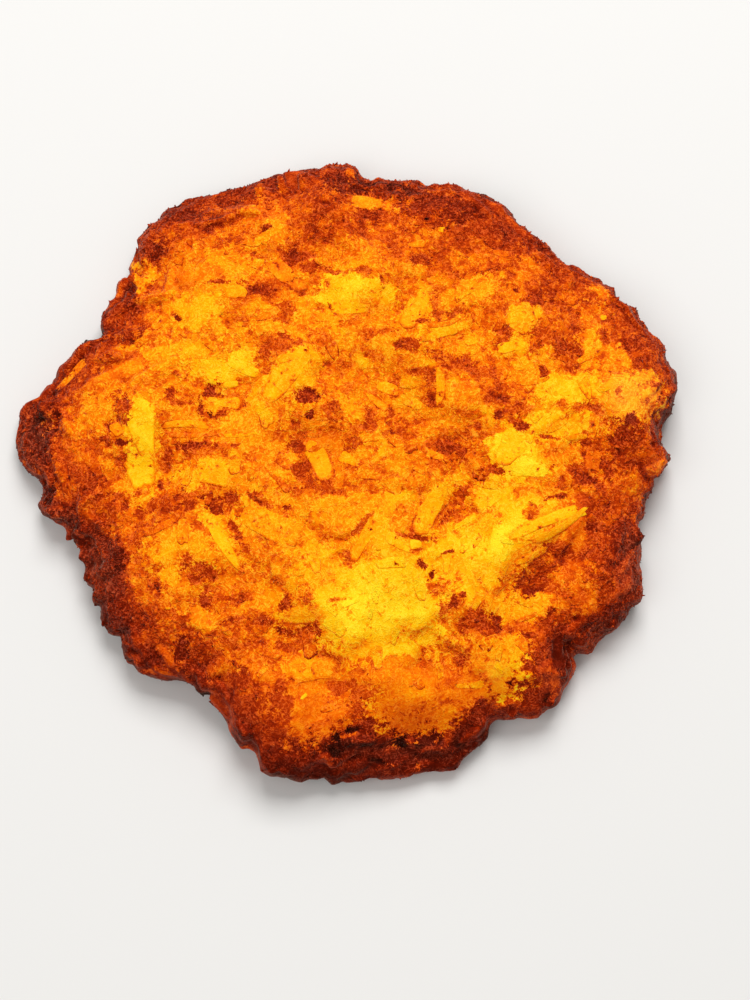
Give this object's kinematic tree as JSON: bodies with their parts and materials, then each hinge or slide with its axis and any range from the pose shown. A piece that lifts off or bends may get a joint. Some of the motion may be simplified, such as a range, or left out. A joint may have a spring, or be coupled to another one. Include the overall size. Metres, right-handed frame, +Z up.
{
  "type": "potato rosti",
  "caption": "Flat round cake of coarsely grated potato with an uneven lobed rim, fried golden brown; rests on its flat base.",
  "frame": {"origin": "middle of the cake's outer box, on the surface it rests on", "axes": "+X along the widest span, +Z up through the thickness, -Y towards the side whose lower half shows as a ledge"},
  "size_m": [0.1, 0.096, 0.013],
  "materials": {
    "crust": "satin"
  },
  "bodies": {
    "root": {"rosti": "crust"}
  },
  "joints": []
}
